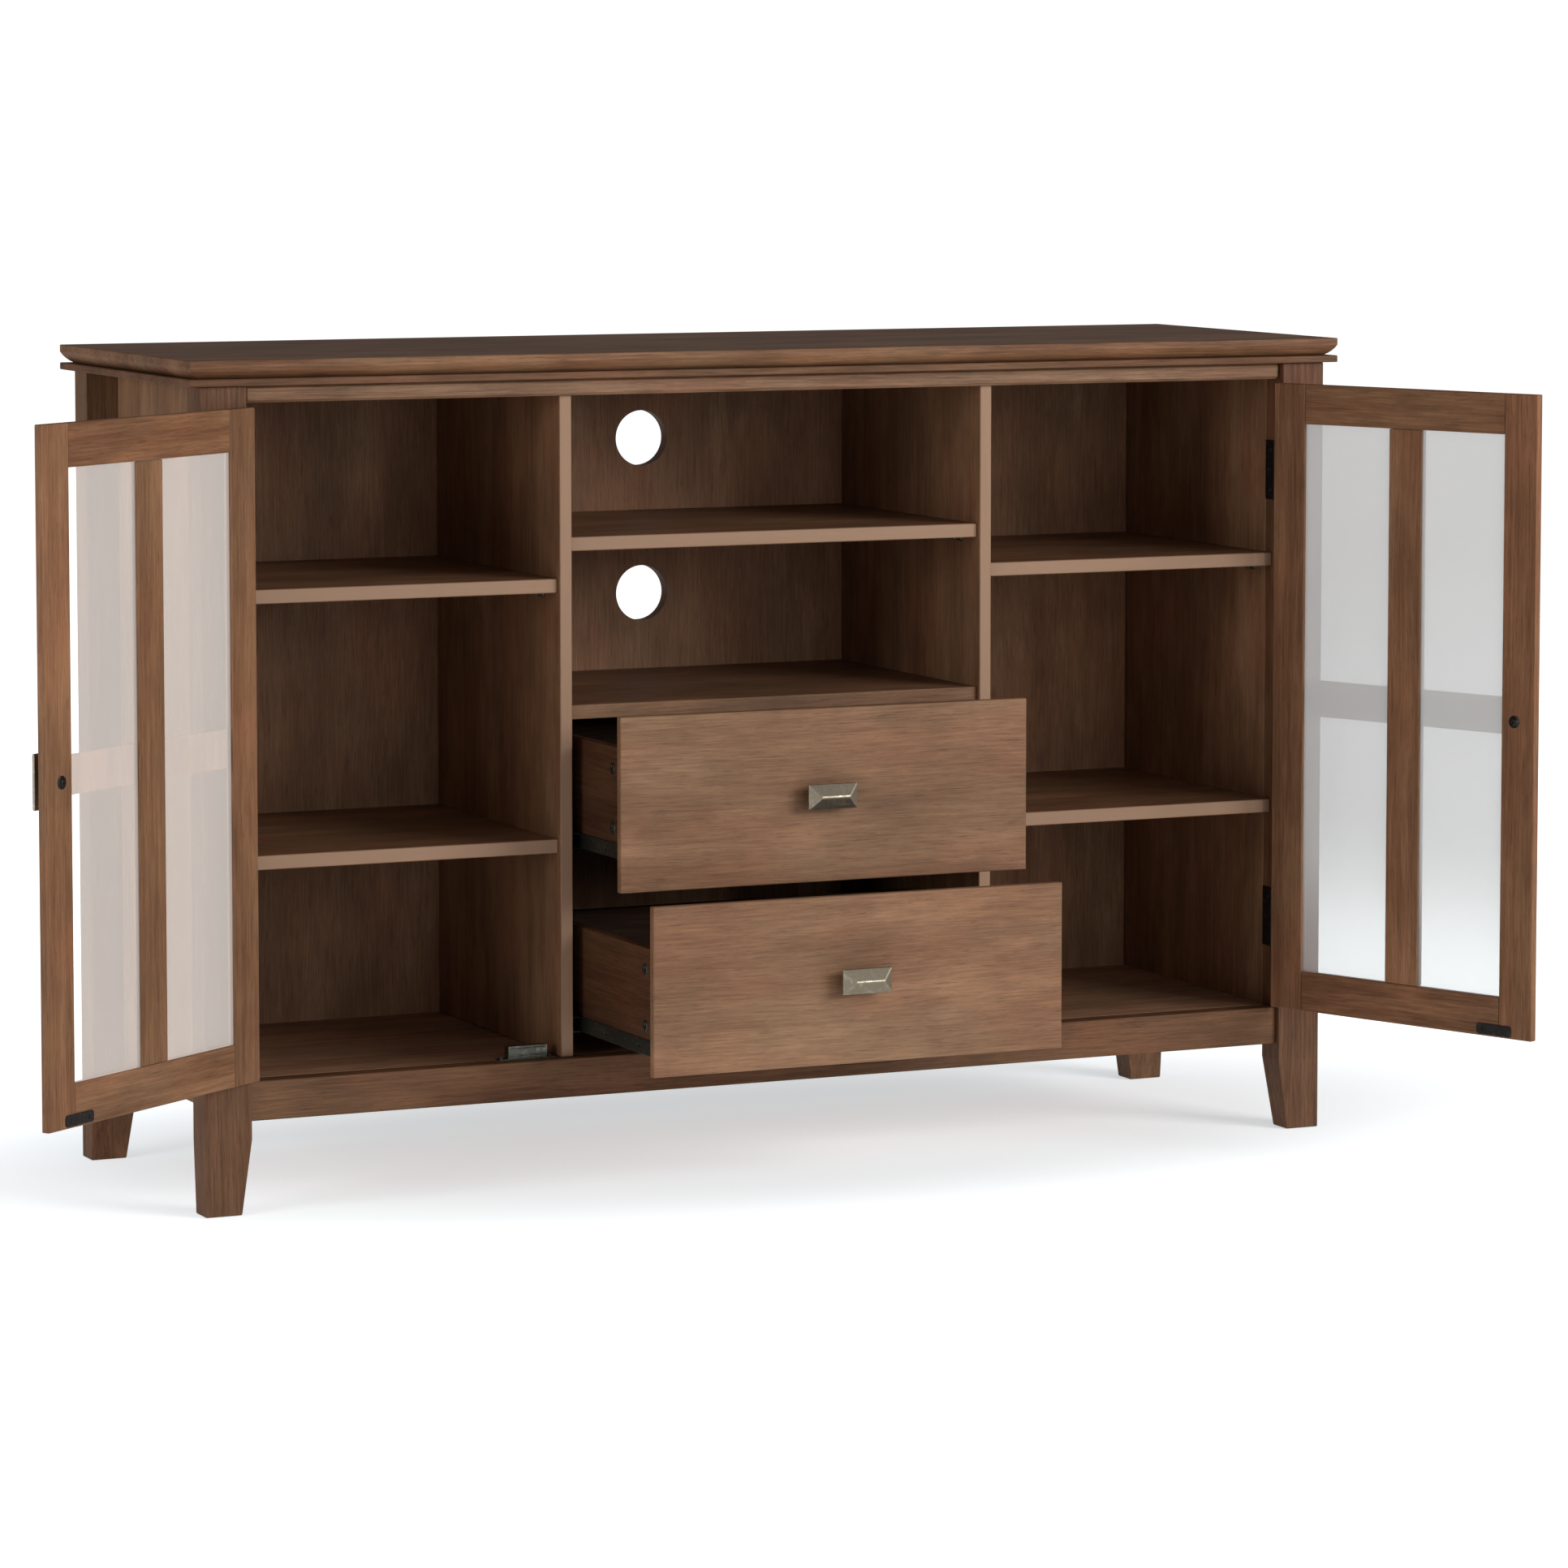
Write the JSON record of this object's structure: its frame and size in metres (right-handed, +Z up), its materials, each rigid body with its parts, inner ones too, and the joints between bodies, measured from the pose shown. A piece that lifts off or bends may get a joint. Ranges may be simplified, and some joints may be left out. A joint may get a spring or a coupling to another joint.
{
  "type": "media cabinet",
  "caption": "Long solid-wood media cabinet on tapered legs, with framed glass side doors, centre drawers below open shelves, adjustable shelves and cable holes.",
  "frame": {"origin": "on the floor, at the centre of the outline as stored, with both doors and both drawers open; the case's own centre line is 76 mm towards +X and its middle 166 mm towards +Y", "axes": "+Z up; +X towards the cabinet's right-hand end as seen from the front; the doors and drawers face -Y"},
  "size_m": [1.6532, 0.7573, 0.888],
  "materials": {
    "stained_wood": "warm mid-brown stain under a satin lacquer",
    "shelf_wood": "slightly paler brown stain, satin",
    "clear_glass": "clear, polished",
    "antique_pewter": "dark antique pewter, rubbed lighter on the edges",
    "blackened_steel": "blackened, semi-matte"
  },
  "bodies": {
    "carcass": {"top_slab": "stained_wood", "sub_top": "stained_wood", "front_top_rail": "stained_wood", "front_bottom_rail": "stained_wood", "bottom_panel": "stained_wood", "back_panel": "stained_wood", "centre_shelf": "shelf_wood", "fixed_shelf": "shelf_wood", "post_front_left": "stained_wood", "post_front_right": "stained_wood", "post_back_left": "stained_wood", "post_back_right": "stained_wood", "side_panel_left": "stained_wood", "divider_left": "shelf_wood", "left_upper_shelf": "shelf_wood", "left_lower_shelf": "shelf_wood", "left_upper_hinge_frame_leaf": "blackened_steel", "left_lower_hinge_frame_leaf": "blackened_steel", "upper_runner_left": "blackened_steel", "lower_runner_left": "blackened_steel", "side_panel_right": "stained_wood", "divider_right": "shelf_wood", "right_upper_shelf": "shelf_wood", "right_lower_shelf": "shelf_wood", "right_upper_hinge_frame_leaf": "blackened_steel", "right_lower_hinge_frame_leaf": "blackened_steel", "upper_runner_right": "blackened_steel", "lower_runner_right": "blackened_steel"},
    "left_door": {"left_door_hinge_stile": "stained_wood", "left_door_free_stile": "stained_wood", "left_door_top_rail": "stained_wood", "left_door_bottom_rail": "stained_wood", "left_door_lattice": "stained_wood", "left_door_inner_mullion": "stained_wood", "left_door_glass": "clear_glass", "left_door_knob": "antique_pewter", "left_upper_hinge_door_leaf": "blackened_steel", "left_lower_hinge_door_leaf": "blackened_steel"},
    "right_door": {"right_door_hinge_stile": "stained_wood", "right_door_free_stile": "stained_wood", "right_door_top_rail": "stained_wood", "right_door_bottom_rail": "stained_wood", "right_door_lattice": "stained_wood", "right_door_inner_mullion": "stained_wood", "right_door_glass": "clear_glass", "right_door_knob": "antique_pewter", "right_upper_hinge_door_leaf": "blackened_steel", "right_lower_hinge_door_leaf": "blackened_steel"},
    "upper_drawer": {"upper_drawer_front": "stained_wood", "upper_drawer_left_side": "shelf_wood", "upper_drawer_right_side": "shelf_wood", "upper_drawer_back": "shelf_wood", "upper_drawer_bottom": "shelf_wood", "upper_drawer_knob": "antique_pewter"},
    "lower_drawer": {"lower_drawer_front": "stained_wood", "lower_drawer_left_side": "shelf_wood", "lower_drawer_right_side": "shelf_wood", "lower_drawer_back": "shelf_wood", "lower_drawer_bottom": "shelf_wood", "lower_drawer_knob": "antique_pewter"}
  },
  "joints": [
    {"name": "left_door_hinge", "type": "hinge", "parent": "carcass", "child": "left_door", "pos_m": [-0.53052, -0.03284, 0.488], "axis": [0, 0, 1], "range_deg": [0, 144.4]},
    {"name": "right_door_hinge", "type": "hinge", "parent": "carcass", "child": "right_door", "pos_m": [0.68248, -0.03284, 0.488], "axis": [0, 0, 1], "range_deg": [-111.1, 33.3]},
    {"name": "upper_drawer_slide", "type": "slide", "parent": "carcass", "child": "upper_drawer", "axis": [0, -1, 0], "range_m": [-0.1112, 0.1388]},
    {"name": "lower_drawer_slide", "type": "slide", "parent": "carcass", "child": "lower_drawer", "axis": [0, -1, 0], "range_m": [-0.1964, 0.0536]}
  ]
}
